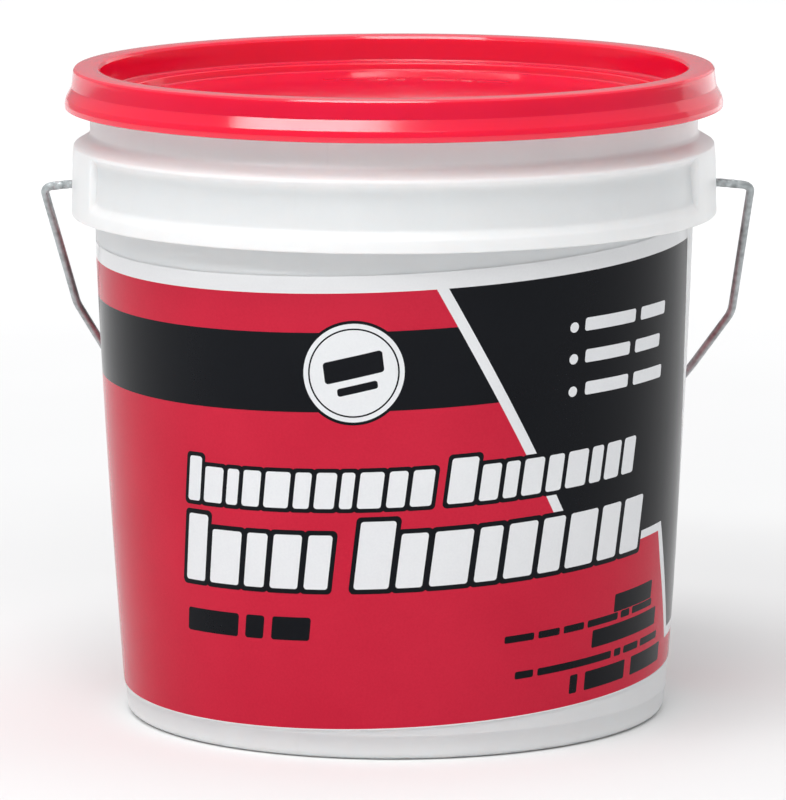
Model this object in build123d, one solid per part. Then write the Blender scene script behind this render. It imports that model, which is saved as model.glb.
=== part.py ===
"""One-gallon plastic pail of ready-mixed joint compound.

Row frame: millimetres, +Z up, origin on the floor at the centre of the pail's
foot ring. The pail's axis is +Z. The bail's hinge axis runs along X through
the two ears, and the label's front faces -Y. At rest the bail hangs behind
the pail (+Y side) and leans on the wall.
"""

import math
import os

from build123d import *

# ------------------------------------------------------------------ driving dimensions
# pail wall: a slightly barrel-shaped taper, given by three points (radius, height)
wall_low = (83.25, 8.0)
wall_mid = (87.80, 79.0)
wall_high = (90.95, 150.0)
wall_t = 1.6            # moulded wall thickness
floor_z = 3.4           # inside floor
base_recess = 1.5       # foot ring stands this far below the base plate
foot_r_out = 82.3       # foot band, set in a little from the wall
foot_step_z = 7.4       # top of the foot band
foot_ring_in = 76.8     # inner radius of the foot ring

# stacking flange and neck
neck_r = 92.3           # collar between flange and lid
flange_ridge_r = 97.42  # nose of the ridge at the top of the flange
flange_waist_r = 95.65  # shallow waist below the ridge
flange_foot_r = 97.85   # lip along the skirt's bottom edge, level with the ears
flange_low_z = 153.0
rib_count = 24          # gussets between skirt and wall
rib_t = 1.3
rib_low_z = 158.0

# snap rim
rim_r = 95.6
rim_top_z = 195.7

# ears for the bail
ear_half_angle = 22.0   # degrees each side of the X axis
ear_r = 98.0
axis_z = 161.5          # bail hinge height
ear_hole_r = 1.34

# bail wire
wire_d = 2.5
wire_tip_x = 92.6       # wire's end, in the gap behind the ear
arm_bend_x = 98.9       # the arm starts to droop here
corner_l = (-106.75, 1.2)
corner_r = (108.7, 1.35)
knee_l = (-98.6, 53.4)
knee_r = (104.9, 58.4)
knee_l_slope = 20.6     # degrees off the leg's long direction
knee_r_slope = 24.9
bow_r = 100.5           # radius of the long curved part
corner_bend_r = 2.6
knee_bend_r = 16.0
rest_gap = 0.35         # bail to wall where it leans
crimp_x = (99.9, 103.2)  # two pinches outside each ear
crimp_len = 1.5

# lid
lid_top_z = 197.8
lid_bead_r = 99.93
lid_low_z = 185.4
plug_r = 90.3           # outside of the plug wall that drops into the mouth
ledge_z = 189.6         # stacking ledge in the recess
panel_z = 187.2         # centre panel
panel_r = 82.0
lid_t = 1.6

# label: printed film, put on with a slight tilt
label_t = 0.15
label_gap = 0.02
label_from, label_to = 76.0, -264.0   # degrees from the front, + towards +X
label_top = 149.7
label_low = 12.9
label_tilt_x, label_tilt_y = 0.0438, 0.0395

# contents
fill_z = 165.7

os.makedirs("parts", exist_ok=True)


# ------------------------------------------------------------------ helpers
def circle_through(p, q, s):
    """Centre and radius of the circle through three (radius, height) points."""
    ax, ay = q[0] - p[0], q[1] - p[1]
    bx, by = s[0] - p[0], s[1] - p[1]
    d = 2 * (ax * by - ay * bx)
    ux = (by * (ax * ax + ay * ay) - ay * (bx * bx + by * by)) / d
    uy = (ax * (bx * bx + by * by) - bx * (ax * ax + ay * ay)) / d
    return p[0] + ux, p[1] + uy, math.hypot(ux, uy)


barrel_r, barrel_z, barrel_R = circle_through(wall_low, wall_mid, wall_high)


def wall_r(z, inset=0.0):
    """Radius of the wall's outside at height z, or of a surface inset from it."""
    return barrel_r + math.sqrt((barrel_R - inset) ** 2 - (z - barrel_z) ** 2)


def arc_on_wall(z0, z1, inset=0.0):
    """Edge on the wall's profile from height z0 to z1."""
    zm = 0.5 * (z0 + z1)
    return Edge.make_three_point_arc(
        (wall_r(z0, inset), 0, z0), (wall_r(zm, inset), 0, zm), (wall_r(z1, inset), 0, z1)
    )


def run(points):
    """Edges through (r, z[, fillet]) points, rounded where a fillet is given."""
    flat = [(p[0], 0, p[1]) for p in points]
    radii = [p[2] if len(p) > 2 else 0.0 for p in points]
    if len(points) == 2:
        return [Edge.make_line(flat[0], flat[1])]
    if flat[0] == flat[-1]:
        return list(FilletPolyline(*flat[:-1], radius=radii[:-1], close=True).edges())
    return list(FilletPolyline(*flat, radius=radii[1:-1]).edges())


def spin(edges, angle=360.0, start=0.0):
    """Revolve a closed (r, z) outline about the pail's axis."""
    face = Face(Wire(edges))
    body = revolve(face, axis=Axis.Z, revolution_arc=angle)
    if isinstance(body, (list, ShapeList)):
        body = body[0]
    return Rot(0, 0, start) * body


def save(shape, name):
    solids = shape.solids()
    out = solids[0] if len(solids) == 1 else Compound(children=list(solids))
    export_step(out, f"parts/{name}.step")
    print(name, "volume cm3", round(sum(s.volume for s in solids) / 1000, 2))
    return out


# ------------------------------------------------------------------ pail
in_top_z = 193.8
w_foot = wall_r(7.9)
outer = [arc_on_wall(7.9, 171.4)]
flange = run([
    (wall_r(171.4), 171.4),
    (93.3, 172.9, 0.8),
    (94.35, 170.4, 1.2),
    (94.45, 166.5),
    (95.2, 154.2),
    (95.5, flange_low_z, 0.3),
    (flange_foot_r, flange_low_z, 0.5),
    (flange_foot_r - 0.15, 156.8, 2.5),
    (96.15, 159.5, 2.5),
    (95.72, 165.5),
    (flange_waist_r, 168.5),
    (flange_waist_r + 0.05, 172.2, 2.4),
    (flange_ridge_r, 173.55, 0.45),
    (97.3, 174.25, 0.6),
    (neck_r, 177.25, 2.2),
    (neck_r, 189.2, 0.6),
    (95.2, 190.7, 0.4),
    (rim_r, 191.5, 0.4),
    (rim_r, 193.8, 0.8),
    (94.9, 195.3, 0.7),
    (94.0, rim_top_z, 0.5),
    (91.6, rim_top_z, 0.6),
    (wall_r(in_top_z, wall_t), 194.7, 0.4),
    (wall_r(in_top_z, wall_t), in_top_z),
])
inner = [arc_on_wall(in_top_z, 8.4, wall_t)]
base = run([
    (wall_r(8.4, wall_t), 8.4),
    (80.95, floor_z, 3.6),
    (0, floor_z),
])
under = run([
    (0, base_recess),
    (foot_ring_in - 1.2, base_recess, 0.5),
    (foot_ring_in, 0, 0.4),
    (foot_r_out, 0, 2.6),
    (82.93, foot_step_z - 0.35, 0.0),
    (w_foot, foot_step_z + 0.1),
    (w_foot, 7.9),
])
pail = spin(
    outer + flange + inner + base + [Edge.make_line((0, 0, floor_z), (0, 0, base_recess))] + under
)

# ears: the flange is filled out flush on both sides, where the bail's holes are
ear_outline = [
    (94.3, flange_low_z + 0.3),
    (ear_r + 0.08, flange_low_z + 0.3, 0.5),
    (ear_r - 0.28, 170.5, 6.0),
    (ear_r - 0.5, 173.0, 1.2),
    (96.3, 174.6),
    (94.3, 174.6),
    (94.3, flange_low_z + 0.3),
]
for side in (0.0, 180.0):
    pail += spin(run(ear_outline), 2 * ear_half_angle, side - ear_half_angle)

# gussets under the flange
for i in range(rib_count):
    a = 360.0 / rib_count * (i + 0.5)
    rib = Pos(93.0, 0, (rib_low_z + 173.2) / 2) * Box(4.4, rib_t, 173.2 - rib_low_z)
    pail += Rot(0, 0, a) * rib
# the gussets' inner ends stop in the wall, so the inside stays smooth
pail -= spin([arc_on_wall(150.0, 180.0, wall_t)] + run([
    (wall_r(180.0, wall_t), 180.0), (60, 180.0), (60, 150.0), (wall_r(150.0, wall_t), 150.0)]))

# holes for the bail, through the ears only
for s in (-1, 1):
    pail -= Pos(s * 96.4, 0, axis_z) * Rot(0, 90, 0) * Cylinder(ear_hole_r, 7.0)

# two low concentric rings and the gate mark under the base plate
for r0 in (30.0, 60.0):
    pail += spin(run([(r0, base_recess + 0.2), (r0, base_recess - 0.4), (r0 + 1.0, base_recess - 0.4),
                      (r0 + 1.0, base_recess + 0.2), (r0, base_recess + 0.2)]))
pail += Pos(0, 0, base_recess - 0.1) * Cylinder(3.0, 0.8)

# ------------------------------------------------------------------ lid
lid = spin(run([
    (0, panel_z),
    (panel_r, panel_z, 0.6),
    (panel_r + 0.5, ledge_z, 0.5),
    (88.55, ledge_z, 0.7),
    (89.15, 196.6, 0.0),
    (89.75, 197.45, 0.0),
    (91.3, lid_top_z - 0.05, 1.0),
    (94.4, lid_top_z, 8.0),
    (96.6, 197.5, 0.5),
    (97.35, 196.8, 0.5),
    (97.45, 196.0),
    (98.08, 191.9, 2.5),
    (99.55, 188.9, 2.5),
    (lid_bead_r, 187.2, 1.0),
    (lid_bead_r, lid_low_z + 0.25, 0.4),
    (99.3, lid_low_z, 0.2),
    (98.3, lid_low_z, 0.3),
    (97.9, 187.4, 0.4),
    (95.98, 188.7, 0.3),
    (95.98, 189.3, 0.3),
    (96.75, 190.4, 0.4),
    (96.2, 194.2, 0.5),
    (95.2, rim_top_z + 0.2, 0.8),
    (91.4, rim_top_z + 0.2, 0.6),
    (plug_r, 194.9, 0.4),
    (plug_r - 0.25, 188.5, 0.5),
    (88.9, ledge_z - lid_t, 0.6),
    (panel_r + 2.0, ledge_z - lid_t, 0.5),
    (panel_r + 1.5, panel_z - lid_t, 0.5),
    (0, panel_z - lid_t),
    (0, panel_z),
]))
# gate mark in the middle, and one low ring on the panel
lid += Pos(0, 0, panel_z + 0.1) * Cylinder(2.6, 0.7)
lid += spin(run([(52.0, panel_z - 0.2), (52.0, panel_z + 0.4), (53.0, panel_z + 0.4),
                 (53.0, panel_z - 0.2), (52.0, panel_z - 0.2)]))

# ------------------------------------------------------------------ contents
compound = spin(
    [arc_on_wall(8.4, fill_z, wall_t + 0.03)]
    + run([(wall_r(fill_z, wall_t + 0.03), fill_z), (0, fill_z)])
    + [Edge.make_line((0, 0, fill_z), (0, 0, floor_z + 0.02))]
    + run([(0, floor_z + 0.02), (80.9, floor_z + 0.02, 3.6), (wall_r(8.4, wall_t + 0.03), 8.4)])
)

# ------------------------------------------------------------------ label
zl, zh = 4.0, 158.0
strip = [arc_on_wall(zl, zh, -label_gap), Edge.make_line(
    (wall_r(zh, -label_gap), 0, zh), (wall_r(zh, -label_gap - label_t), 0, zh)),
    arc_on_wall(zh, zl, -label_gap - label_t), Edge.make_line(
    (wall_r(zl, -label_gap - label_t), 0, zl), (wall_r(zl, -label_gap), 0, zl))]
# the front is -Y, and angles from the front run towards +X
band = spin(strip, label_from - label_to, -90.0 + label_to)
n = Vector(-label_tilt_x, -label_tilt_y, 1).normalized()
slab_top = Plane(origin=(0, 0, label_top), z_dir=n, x_dir=(1, 0, label_tilt_x)) * Pos(0, 0, 40) * Box(300, 300, 80)
slab_low = Plane(origin=(0, 0, label_low), z_dir=n, x_dir=(1, 0, label_tilt_x)) * Pos(0, 0, -40) * Box(300, 300, 80)
label = band - slab_top - slab_low

# ------------------------------------------------------------------ bail
# The bail is drawn flat first: u across, v away from the hinge axis.
def unit(deg, sign):
    """Direction of the lower run beyond a knee, leaning in towards the middle."""
    return (sign * math.sin(math.radians(deg)), math.cos(math.radians(deg)))


def bow_centre():
    """Centre of the long bow, tangent to both runs beyond the knees."""
    dl, dr = unit(knee_l_slope, 1), unit(knee_r_slope, -1)
    nl, nr = (dl[1], -dl[0]), (-dr[1], dr[0])
    a1, b1, c1 = nl[0], nl[1], bow_r + nl[0] * knee_l[0] + nl[1] * knee_l[1]
    a2, b2, c2 = nr[0], nr[1], bow_r + nr[0] * knee_r[0] + nr[1] * knee_r[1]
    d = a1 * b2 - a2 * b1
    return ((c1 * b2 - c2 * b1) / d, (a1 * c2 - a2 * c1) / d, nl, nr)


bow_u, bow_v, nl, nr = bow_centre()
touch_l = (bow_u - bow_r * nl[0], bow_v - bow_r * nl[1])
touch_r = (bow_u - bow_r * nr[0], bow_v - bow_r * nr[1])
low_v = bow_v + bow_r
print("bow centre", round(bow_u, 2), round(bow_v, 2), "reach", round(low_v, 2))
print("bow starts", touch_l, touch_r)


def lean():
    """Angle from straight down at which the bail comes to lean on the pail's back."""
    lo, hi = math.radians(20), math.radians(70)
    for _ in range(60):
        a = 0.5 * (lo + hi)
        room = 1e9
        for k in range(-60, 61):
            t = math.radians(k)
            u, v = bow_u + bow_r * math.sin(t), bow_v + bow_r * math.cos(t)
            y, z = v * math.sin(a), axis_z - v * math.cos(a)
            room = min(room, math.hypot(u, y) - wall_r(z, -label_gap - label_t))
        if room < wire_d / 2 + rest_gap:
            lo = a
        else:
            hi = a
    return hi


lean_a = lean()
print("bail leans at", round(math.degrees(lean_a), 3), "deg; travel", round(360 - 2 * math.degrees(lean_a), 2))

lay = Plane(origin=(0, 0, axis_z), x_dir=(1, 0, 0),
            z_dir=(0, -math.cos(lean_a), -math.sin(lean_a)))
# in this plane local x is u, and local y points away from the hinge axis, along the lean


def flat(u, v):
    p = Vector(0, 0, axis_z) + Vector(1, 0, 0) * u + Vector(0, math.sin(lean_a), -math.cos(lean_a)) * v
    return p


left = FilletPolyline(
    flat(-wire_tip_x, 0), flat(-arm_bend_x, 0), flat(*corner_l), flat(*knee_l), flat(*touch_l),
    radius=[6.0, corner_bend_r, knee_bend_r])
right = FilletPolyline(
    flat(*touch_r), flat(*knee_r), flat(*corner_r), flat(arm_bend_x, 0), flat(wire_tip_x, 0),
    radius=[knee_bend_r, corner_bend_r, 6.0])
bow = Edge.make_three_point_arc(flat(*touch_l), flat(bow_u, low_v), flat(*touch_r))
path = Wire(list(left.edges()) + [bow] + list(right.edges()))
section = Plane(origin=flat(-wire_tip_x, 0), z_dir=(-1, 0, 0)) * Circle(wire_d / 2)
bail = sweep(section, path=path)
print("bail wire length", round(path.length, 1), "volume", round(bail.volume, 1),
      "section x length", round(math.pi * (wire_d / 2) ** 2 * path.length, 1))


def pinch(u, v, droop, wide, thin, length):
    """A flattened stretch of wire: squeezed one way, spread the other."""
    at = Plane(origin=flat(u, v), x_dir=(1 if u > 0 else -1) * Vector(1, 0, 0) * math.cos(droop)
               + Vector(0, math.sin(lean_a), -math.cos(lean_a)) * math.sin(droop),
               z_dir=(0, -math.cos(lean_a), -math.sin(lean_a)))
    oval = Plane(origin=(0, 0, 0), x_dir=(0, 1, 0), z_dir=(1, 0, 0)) * Ellipse(wide / 2, thin / 2)
    lobe = extrude(Pos(-length / 2, 0, 0) * oval, length)
    cut = Pos(0, 0, thin / 2 + 1) * Box(length, 4, 2) + Pos(0, 0, -thin / 2 - 1) * Box(length, 4, 2)
    return at * lobe, at * cut


for side, corner in ((-1, corner_l), (1, corner_r)):
    droop = math.atan2(corner[1], abs(corner[0]) - arm_bend_x)
    for cx in crimp_x:
        v = max(0.0, (cx - arm_bend_x) * math.tan(droop))
        lobe, cut = pinch(side * cx, v, droop, 3.1, 1.8, crimp_len)
        bail = bail - cut + lobe
    # the end behind the ear is upset the same way, so that it can't pull out
    lobe, cut = pinch(side * 93.5, 0.0, 0.0, 3.3, 1.9, 1.4)
    bail = bail - cut + lobe

# ------------------------------------------------------------------ write
save(pail, "pail_body")
save(lid, "lid")
save(compound, "joint_compound")
save(label, "label")
save(bail, "bail_wire")
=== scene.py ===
import math
import random

import bpy
import numpy as np
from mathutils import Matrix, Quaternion, Vector
from mathutils.geometry import delaunay_2d_cdt


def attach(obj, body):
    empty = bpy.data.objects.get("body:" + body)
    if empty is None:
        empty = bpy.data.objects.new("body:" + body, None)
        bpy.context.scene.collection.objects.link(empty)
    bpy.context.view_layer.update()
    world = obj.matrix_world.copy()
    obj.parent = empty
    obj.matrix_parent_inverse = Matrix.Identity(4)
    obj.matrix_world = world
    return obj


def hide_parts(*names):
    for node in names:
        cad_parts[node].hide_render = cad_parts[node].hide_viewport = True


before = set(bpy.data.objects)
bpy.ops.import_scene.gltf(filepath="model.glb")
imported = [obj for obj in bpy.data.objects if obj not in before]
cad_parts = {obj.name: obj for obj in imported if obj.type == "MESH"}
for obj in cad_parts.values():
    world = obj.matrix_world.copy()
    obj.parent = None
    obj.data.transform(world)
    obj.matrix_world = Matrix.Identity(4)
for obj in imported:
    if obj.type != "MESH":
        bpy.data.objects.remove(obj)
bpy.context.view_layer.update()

MM = 0.001
rng = random.Random(41)


# ================================================================ shared shape of the pail (millimetres)
def circle_through(p, q, s):
    ax, ay = q[0] - p[0], q[1] - p[1]
    bx, by = s[0] - p[0], s[1] - p[1]
    d = 2 * (ax * by - ay * bx)
    ux = (by * (ax * ax + ay * ay) - ay * (bx * bx + by * by)) / d
    uy = (ax * (bx * bx + by * by) - bx * (ax * ax + ay * ay)) / d
    return p[0] + ux, p[1] + uy, math.hypot(ux, uy)


BAR_R, BAR_Z, BAR_RAD = circle_through((83.25, 8.0), (87.80, 79.0), (90.95, 150.0))
WALL_T = 1.6
AXIS_Z = 161.5
FILL_Z = 165.7
TILT_X, TILT_Y = 0.0438, 0.0395


def wall_r(z, inset=0.0):
    return BAR_R + math.sqrt((BAR_RAD - inset) ** 2 - (z - BAR_Z) ** 2)


def wall_r_np(z, inset=0.0):
    return BAR_R + np.sqrt((BAR_RAD - inset) ** 2 - (z - BAR_Z) ** 2)


def rounded(points, step=11.0, longest=6.0):
    """A line through (r, z[, fillet]) points, with each fillet as a fan of short steps and long runs divided."""
    out = [np.array(points[0][:2], float)]
    n = len(points)
    for i in range(1, n - 1):
        a, b, c = (np.array(points[k][:2], float) for k in (i - 1, i, i + 1))
        rad = points[i][2] if len(points[i]) > 2 else 0.0
        u, w = (a - b), (c - b)
        lu, lw = np.linalg.norm(u), np.linalg.norm(w)
        u, w = u / lu, w / lw
        cosang = float(np.clip(u @ w, -1, 1))
        turn = math.pi - math.acos(cosang)
        if rad <= 0 or turn < 0.02:
            out.append(b)
            continue
        t = rad * math.tan(turn / 2)
        top = 0.499 * min(lu, lw)
        if t > top:
            t = top
            rad = t / math.tan(turn / 2)
        bis = u + w
        bis /= np.linalg.norm(bis)
        centre = b + bis * (rad / math.cos(turn / 2))
        p0, p1 = b + u * t, b + w * t
        a0 = math.atan2(*(p0 - centre)[::-1])
        a1 = math.atan2(*(p1 - centre)[::-1])
        da = (a1 - a0 + math.pi) % (2 * math.pi) - math.pi
        k = max(2, int(math.ceil(math.degrees(abs(da)) / step)))
        for j in range(k + 1):
            ang = a0 + da * j / k
            out.append(centre + rad * np.array((math.cos(ang), math.sin(ang))))
    out.append(np.array(points[-1][:2], float))
    # divide long runs, drop doubled points
    line = [out[0]]
    for p in out[1:]:
        d = np.linalg.norm(p - line[-1])
        if d < 1e-4:
            continue
        k = max(1, int(math.ceil(d / longest)))
        base = line[-1]
        for j in range(1, k + 1):
            line.append(base + (p - base) * j / k)
    return [tuple(p) for p in line]


def wall_line(z0, z1, inset=0.0, longest=4.0):
    k = max(1, int(math.ceil(abs(z1 - z0) / longest)))
    return [(wall_r(z0 + (z1 - z0) * j / k, inset), z0 + (z1 - z0) * j / k) for j in range(k + 1)]


def joined(*parts):
    line = []
    for part in parts:
        for p in part:
            if not line or math.hypot(p[0] - line[-1][0], p[1] - line[-1][1]) > 1e-3:
                line.append(tuple(p))
    return line


# ================================================================ mesh helpers
def inside(poly, px, py):
    poly = np.array(poly)
    ok = (px >= poly[:, 0].min()) & (px <= poly[:, 0].max()) & (py >= poly[:, 1].min()) & (py <= poly[:, 1].max())
    idx = np.nonzero(ok)[0]
    res = np.zeros(len(px), bool)
    if len(idx) == 0:
        return res
    x, y = px[idx], py[idx]
    c = np.zeros(len(idx), bool)
    n = len(poly)
    for i in range(n):
        x0, y0 = poly[i]
        x1, y1 = poly[(i + 1) % n]
        if y0 == y1:
            continue
        cross = (y0 > y) != (y1 > y)
        c ^= cross & (x < (x1 - x0) * (y - y0) / (y1 - y0) + x0)
    res[idx] = c
    return res


def outward(verts, faces):
    """The faces, all turned over if the closed body they make would be inside out."""
    vol = 0.0
    for f in faces:
        a = verts[f[0]]
        for k in range(1, len(f) - 1):
            b, c = verts[f[k]], verts[f[k + 1]]
            vol += (a[0] * (b[1] * c[2] - b[2] * c[1]) - a[1] * (b[0] * c[2] - b[2] * c[0])
                    + a[2] * (b[0] * c[1] - b[1] * c[0]))
    return faces if vol > 0 else [list(f)[::-1] for f in faces]


def new_object(name, verts, faces, materials, face_mats=None, smooth=True, sharp_deg=38.0):
    mesh = bpy.data.meshes.new(name)
    mesh.from_pydata([tuple(v) for v in verts], [], faces)
    mesh.validate()
    for m in materials:
        mesh.materials.append(m)
    if face_mats is not None:
        mesh.polygons.foreach_set("material_index", face_mats)
    mesh.polygons.foreach_set("use_smooth", [smooth] * len(mesh.polygons))
    if smooth and sharp_deg:
        mark_sharp(mesh, sharp_deg)
    mesh.update()
    obj = bpy.data.objects.new(name, mesh)
    bpy.context.scene.collection.objects.link(obj)
    return obj


def mark_sharp(mesh, degrees):
    """Edges whose two faces meet at more than the given angle are shaded sharp."""
    nf = len(mesh.polygons)
    normals = np.zeros(nf * 3)
    mesh.polygons.foreach_get("normal", normals)
    normals = normals.reshape(-1, 3)
    starts = np.zeros(nf, int)
    totals = np.zeros(nf, int)
    mesh.polygons.foreach_get("loop_start", starts)
    mesh.polygons.foreach_get("loop_total", totals)
    ne, nl = len(mesh.edges), len(mesh.loops)
    le = np.zeros(nl, int)
    mesh.loops.foreach_get("edge_index", le)
    owner = np.repeat(np.arange(nf), totals)
    order = np.argsort(le, kind="stable")
    les, own = le[order], owner[order]
    first = np.searchsorted(les, np.arange(ne), "left")
    last = np.searchsorted(les, np.arange(ne), "right")
    two = (last - first) == 2
    sharp = np.ones(ne, bool)
    i = np.nonzero(two)[0]
    dots = (normals[own[first[i]]] * normals[own[first[i] + 1]]).sum(1)
    sharp[i] = dots < math.cos(math.radians(degrees))
    attr = mesh.attributes.get("sharp_edge") or mesh.attributes.new("sharp_edge", "BOOLEAN", "EDGE")
    attr.data.foreach_set("value", sharp)


def lathe(name, profile, columns, materials, face_mat=None, sharp_deg=38.0, shift=None, extra=None):
    """Closed body of revolution from a closed (r, z) outline in millimetres. Points with r = 0 become one vertex."""
    m = len(profile)
    verts, index = [], np.zeros((m, len(columns)), int)
    for i, (r, z) in enumerate(profile):
        if r < 1e-6:
            index[i, :] = len(verts)
            verts.append((0, 0, z * MM))
        else:
            for j, a in enumerate(columns):
                index[i, j] = len(verts)
                rr, zz = (r, z) if shift is None else shift(i, r, z, a)
                verts.append((rr * math.cos(a) * MM, rr * math.sin(a) * MM, zz * MM))
    faces, mats = [], []
    n = len(columns)
    for i in range(m):
        i2 = (i + 1) % m
        for j in range(n):
            j2 = (j + 1) % n
            q = []
            for v in (index[i, j], index[i, j2], index[i2, j2], index[i2, j]):
                if v not in q:
                    q.append(int(v))
            if len(q) > 2:
                faces.append(q)
                if face_mat:
                    mats.append(face_mat(i, j))
    faces = outward(verts, faces)
    if extra:
        base = len(verts)
        verts += extra[0]
        faces += [[k + base for k in f] for f in extra[1]]
    return new_object(name, verts, faces, materials, mats or None, True, sharp_deg)


# ================================================================ materials
def node_material(name):
    mat = bpy.data.materials.new(name)
    mat.use_nodes = True
    nt = mat.node_tree
    nt.nodes.clear()
    out = nt.nodes.new("ShaderNodeOutputMaterial")
    bsdf = nt.nodes.new("ShaderNodeBsdfPrincipled")
    nt.links.new(bsdf.outputs["BSDF"], out.inputs["Surface"])
    return mat, nt, bsdf


def noise(nt, coords, scale, detail=3.0, rough=0.5, distort=0.0, stretch=None):
    if stretch is not None:
        mp = nt.nodes.new("ShaderNodeMapping")
        mp.inputs["Scale"].default_value = stretch
        nt.links.new(coords, mp.inputs["Vector"])
        coords = mp.outputs["Vector"]
    t = nt.nodes.new("ShaderNodeTexNoise")
    t.inputs["Scale"].default_value = scale
    t.inputs["Detail"].default_value = detail
    t.inputs["Roughness"].default_value = rough
    t.inputs["Distortion"].default_value = distort
    nt.links.new(coords, t.inputs["Vector"])
    return t.outputs["Fac"]


def remap(nt, value, a0, a1, b0, b1):
    n = nt.nodes.new("ShaderNodeMapRange")
    n.inputs["From Min"].default_value = a0
    n.inputs["From Max"].default_value = a1
    n.inputs["To Min"].default_value = b0
    n.inputs["To Max"].default_value = b1
    nt.links.new(value, n.inputs["Value"])
    return n.outputs["Result"]


def two_tone(nt, fac, a, b, lo=0.35, hi=0.65):
    n = nt.nodes.new("ShaderNodeMix")
    n.data_type = "RGBA"
    nt.links.new(remap(nt, fac, lo, hi, 0.0, 1.0), n.inputs[0])
    n.inputs[6].default_value = a
    n.inputs[7].default_value = b
    return n.outputs[2]


def math_node(nt, op, a, b=None):
    n = nt.nodes.new("ShaderNodeMath")
    n.operation = op
    for k, v in enumerate((a, b)):
        if v is None:
            continue
        if isinstance(v, (int, float)):
            n.inputs[k].default_value = v
        else:
            nt.links.new(v, n.inputs[k])
    return n.outputs[0]


def bump(nt, bsdf, heights):
    """heights: list of (value, strength, distance in metres), stacked."""
    last = None
    for value, strength, dist in heights:
        b = nt.nodes.new("ShaderNodeBump")
        b.inputs["Strength"].default_value = strength
        b.inputs["Distance"].default_value = dist
        nt.links.new(value, b.inputs["Height"])
        if last is not None:
            nt.links.new(last, b.inputs["Normal"])
        last = b.outputs["Normal"]
    nt.links.new(last, bsdf.inputs["Normal"])


def object_coords(nt):
    return nt.nodes.new("ShaderNodeTexCoord").outputs["Object"]


def make_pail_plastic():
    mat, nt, bsdf = node_material("pail_polyethylene")
    co = object_coords(nt)
    cloud = noise(nt, co, 24.0, 4.0, 0.55)
    bsdf_col = two_tone(nt, cloud, (0.840, 0.846, 0.848, 1), (0.872, 0.876, 0.874, 1))
    # faint scuffs, a little darker, drawn out along the height
    scuff = noise(nt, co, 190.0, 5.0, 0.62, 0.4, (1.0, 1.0, 0.18))
    n = nt.nodes.new("ShaderNodeMix")
    n.data_type = "RGBA"
    nt.links.new(remap(nt, scuff, 0.62, 0.78, 0.0, 0.14), n.inputs[0])
    nt.links.new(bsdf_col, n.inputs[6])
    n.inputs[7].default_value = (0.66, 0.66, 0.65, 1)
    nt.links.new(n.outputs[2], bsdf.inputs["Base Color"])
    fine = noise(nt, co, 700.0, 3.0, 0.5)
    nt.links.new(remap(nt, noise(nt, co, 60.0, 4.0, 0.6), 0.3, 0.7, 0.30, 0.42), bsdf.inputs["Roughness"])
    bsdf.inputs["IOR"].default_value = 1.50
    bsdf.inputs["Subsurface Weight"].default_value = 0.85
    bsdf.inputs["Subsurface Radius"].default_value = (0.0042, 0.0038, 0.0036)
    bsdf.inputs["Subsurface Scale"].default_value = 1.0
    bump(nt, bsdf, [(noise(nt, co, 34.0, 2.0, 0.5), 0.25, 0.0004), (fine, 0.16, 0.00006)])
    return mat


def make_lid_plastic():
    mat, nt, bsdf = node_material("lid_red_plastic")
    co = object_coords(nt)
    cloud = noise(nt, co, 18.0, 4.0, 0.55)
    col = two_tone(nt, cloud, (0.860, 0.0050, 0.040, 1), (0.910, 0.0065, 0.047, 1))
    nt.links.new(col, bsdf.inputs["Base Color"])
    nt.links.new(remap(nt, noise(nt, co, 80.0, 4.0, 0.6), 0.3, 0.7, 0.09, 0.14), bsdf.inputs["Roughness"])
    bsdf.inputs["IOR"].default_value = 1.58
    bsdf.inputs["Subsurface Weight"].default_value = 0.40
    bsdf.inputs["Subsurface Radius"].default_value = (0.012, 0.0006, 0.0009)
    bsdf.inputs["Subsurface Scale"].default_value = 1.0
    bump(nt, bsdf, [(noise(nt, co, 42.0, 2.0, 0.5), 0.22, 0.0003), (noise(nt, co, 820.0, 3.0, 0.5), 0.12, 0.00004)])
    return mat


def make_film(name, low, high, rough=(0.15, 0.22), ior=1.45, level=0.13):
    mat, nt, bsdf = node_material(name)
    co = object_coords(nt)
    # dot-screen grain of the print, and slow changes in ink weight
    grain = noise(nt, co, 1500.0, 2.0, 0.6)
    weight = noise(nt, co, 30.0, 3.0, 0.5)
    both = math_node(nt, "ADD", math_node(nt, "MULTIPLY", grain, 0.45), math_node(nt, "MULTIPLY", weight, 0.55))
    nt.links.new(two_tone(nt, both, low, high, 0.38, 0.62), bsdf.inputs["Base Color"])
    nt.links.new(remap(nt, noise(nt, co, 55.0, 3.0, 0.6), 0.3, 0.7, rough[0], rough[1]), bsdf.inputs["Roughness"])
    bsdf.inputs["IOR"].default_value = ior
    bsdf.inputs["Specular IOR Level"].default_value = level
    pull = noise(nt, co, 22.0, 2.0, 0.5, 0.3, (1.0, 1.0, 0.35))
    bump(nt, bsdf, [(pull, 0.22, 0.0005), (noise(nt, co, 420.0, 2.0, 0.5), 0.10, 0.00004)])
    return mat


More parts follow.
